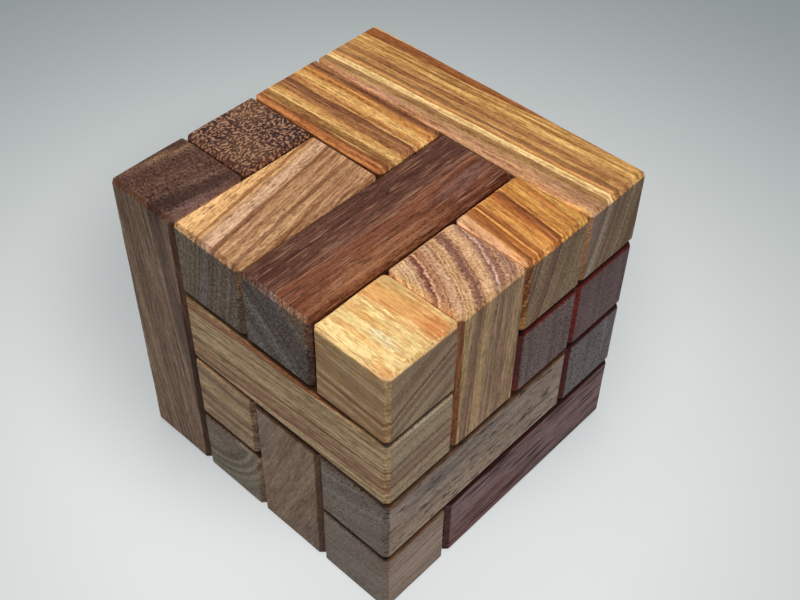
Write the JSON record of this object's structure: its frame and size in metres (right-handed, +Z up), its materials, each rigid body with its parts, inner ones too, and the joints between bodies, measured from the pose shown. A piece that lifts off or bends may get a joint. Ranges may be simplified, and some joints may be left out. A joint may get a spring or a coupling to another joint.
{
  "type": "puzzle box",
  "caption": "Closed wooden puzzle cube of chamfered square sticks in mixed hardwoods, glued into pieces that slide and lift apart around a hidden chamber.",
  "frame": {"origin": "middle of the cube's bottom face", "axes": "+Z up; +X to the right along the front face that holds the drawer's front post; +Y to the back, against the way the drawer slides out"},
  "size_m": [0.076, 0.076, 0.076],
  "materials": {
    "red_heartwood": "sanded and oiled, satin",
    "brown_hardwood": "sanded and oiled, satin",
    "dark_key_wood": "sanded and oiled, satin",
    "golden_striped_wood": "sanded and oiled, satin",
    "walnut": "sanded and oiled, satin"
  },
  "bodies": {
    "frame_piece": {"right_base_rail": "red_heartwood", "back_base_rail": "red_heartwood", "back_wall_lower_bar": "red_heartwood", "back_wall_upper_bar": "red_heartwood", "right_wall_block": "red_heartwood", "left_wall_post": "red_heartwood"},
    "drawer_piece": {"drawer_side_bar": "brown_hardwood", "drawer_corner_block": "brown_hardwood", "drawer_front_post": "brown_hardwood", "drawer_floor_left_bar": "brown_hardwood", "drawer_floor_right_bar": "brown_hardwood"},
    "key_piece": {"key_stick": "dark_key_wood"},
    "roof_piece": {"back_roof_bar": "golden_striped_wood", "left_roof_bar": "golden_striped_wood", "right_roof_block": "golden_striped_wood", "right_wall_post": "golden_striped_wood", "front_corner_block": "golden_striped_wood", "front_wall_bar": "golden_striped_wood", "front_wall_block": "golden_striped_wood"},
    "lid_piece": {"left_corner_post": "walnut", "short_lid_bar": "walnut", "long_lid_bar": "walnut"}
  },
  "joints": [
    {"name": "drawer_slide", "type": "slide", "parent": "frame_piece", "child": "drawer_piece", "axis": [0, -1, 0], "range_m": [0, 0.06]},
    {"name": "key_lift", "type": "slide", "parent": "frame_piece", "child": "key_piece", "axis": [0, 0, 1], "range_m": [0, 0.08]},
    {"name": "roof_lift", "type": "slide", "parent": "frame_piece", "child": "roof_piece", "axis": [0, 0, 1], "range_m": [0, 0.06]},
    {"name": "lid_lift", "type": "slide", "parent": "roof_piece", "child": "lid_piece", "axis": [0, 0, 1], "range_m": [0, 0.08]}
  ]
}
